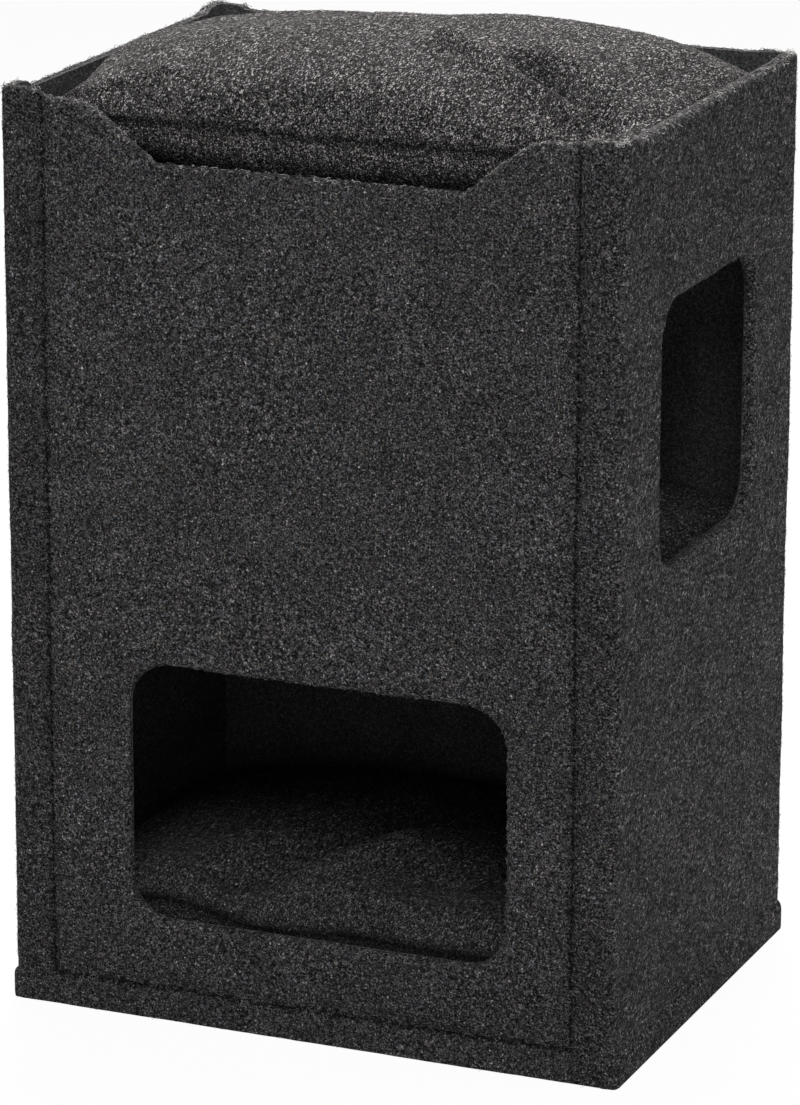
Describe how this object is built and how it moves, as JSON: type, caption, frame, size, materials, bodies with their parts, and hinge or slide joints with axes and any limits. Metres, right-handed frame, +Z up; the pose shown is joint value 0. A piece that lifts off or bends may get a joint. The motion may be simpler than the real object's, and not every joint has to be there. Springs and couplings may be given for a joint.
{
  "type": "cat condo",
  "caption": "Free-standing felt-covered box for cats with a low front doorway, a high side doorway, a den on each floor, and a cushioned roof behind a scooped rim.",
  "frame": {"origin": "middle of the footprint, on the floor", "axes": "+Z up, the front with the low doorway faces -Y, the side doorway faces +X"},
  "size_m": [0.422, 0.322, 0.634],
  "materials": {
    "felt": "heathered anthracite felt",
    "lining_felt": "heathered anthracite felt",
    "cushion_cover": "brushed grey cover cloth",
    "filling": "loose polyester fibre",
    "board": "raw fibreboard",
    "batten": "planed softwood"
  },
  "bodies": {
    "carcass": {"base_felt": "felt", "base_board": "board", "base_lining": "lining_felt", "front_foot_strip": "felt", "back_foot_strip": "felt", "left_foot_binding": "felt", "right_foot_binding": "felt", "front_board": "board", "back_board": "board", "left_board": "board", "right_board": "board", "front_felt": "felt", "back_felt": "felt", "left_felt": "felt", "right_felt": "felt", "front_lining": "lining_felt", "back_lining": "lining_felt", "left_lining": "lining_felt", "right_lining": "lining_felt", "left_shelf_ledge": "batten", "right_shelf_ledge": "batten", "left_deck_ledge": "batten", "right_deck_ledge": "batten"},
    "shelf": {"shelf_board": "board", "shelf_top_felt": "felt", "shelf_bottom_felt": "felt"},
    "upper_cushion": {"upper_cushion_upper_panel": "cushion_cover", "upper_cushion_lower_panel": "cushion_cover", "upper_cushion_filling": "filling"},
    "deck": {"deck_board": "board", "deck_top_felt": "felt", "deck_bottom_felt": "felt"},
    "top_cushion": {"top_cushion_upper_panel": "cushion_cover", "top_cushion_lower_panel": "cushion_cover", "top_cushion_filling": "filling"},
    "lower_cushion": {"lower_cushion_upper_panel": "cushion_cover", "lower_cushion_lower_panel": "cushion_cover", "lower_cushion_filling": "filling"}
  },
  "joints": [
    {"name": "shelf_lift", "type": "slide", "parent": "carcass", "child": "shelf", "axis": [0, 0, 1], "range_m": [0, 0.08]},
    {"name": "upper_cushion_lift", "type": "slide", "parent": "shelf", "child": "upper_cushion", "axis": [0, 0, 1], "range_m": [0, 0.1]},
    {"name": "deck_lift", "type": "slide", "parent": "carcass", "child": "deck", "axis": [0, 0, 1], "range_m": [0, 0.1]},
    {"name": "top_cushion_lift", "type": "slide", "parent": "deck", "child": "top_cushion", "axis": [0, 0, 1], "range_m": [0, 0.15]},
    {"name": "lower_cushion_lift", "type": "slide", "parent": "carcass", "child": "lower_cushion", "axis": [0, 0, 1], "range_m": [0, 0.12]}
  ]
}
